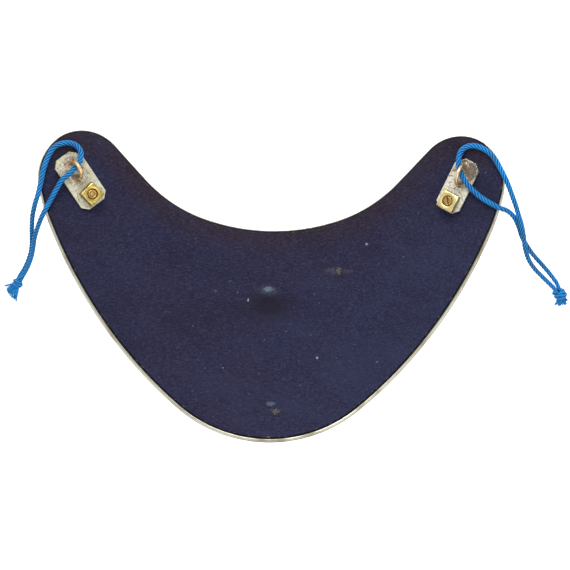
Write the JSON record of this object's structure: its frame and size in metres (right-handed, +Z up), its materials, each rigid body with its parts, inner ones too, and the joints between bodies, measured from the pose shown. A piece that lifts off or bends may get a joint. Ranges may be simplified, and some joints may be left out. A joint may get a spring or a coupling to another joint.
{
  "type": "gorget",
  "caption": "Crescent metal gorget lying face down, its padded cloth lining up, with bolted mount plates, wire loops and knotted blue neck cords on its wings.",
  "frame": {"origin": "on the surface the gorget lies on, under the middle of its plan, cords left out", "axes": "+X towards the right wing as seen from the lined back, +Y towards the neck opening, +Z up from the lining"},
  "size_m": [0.2321, 0.1246, 0.0333],
  "materials": {
    "front_plate": "silver-plated, aged",
    "lining": "napped cloth",
    "mount_plate": "tinned, mottled",
    "bolt": "aged",
    "nut": "filed",
    "wire_loop": "drawn wire",
    "cord": "twisted",
    "knot": "twisted, frayed"
  },
  "bodies": {
    "root": {"front_plate": "front_plate", "lining": "lining", "mount_plate_left": "mount_plate", "bolt_left": "bolt", "nut_left": "nut", "wire_loop_left": "wire_loop", "cord_left": "cord", "knot_left": "knot", "mount_plate_right": "mount_plate", "bolt_right": "bolt", "nut_right": "nut", "wire_loop_right": "wire_loop", "cord_right": "cord", "knot_right": "knot"}
  },
  "joints": []
}
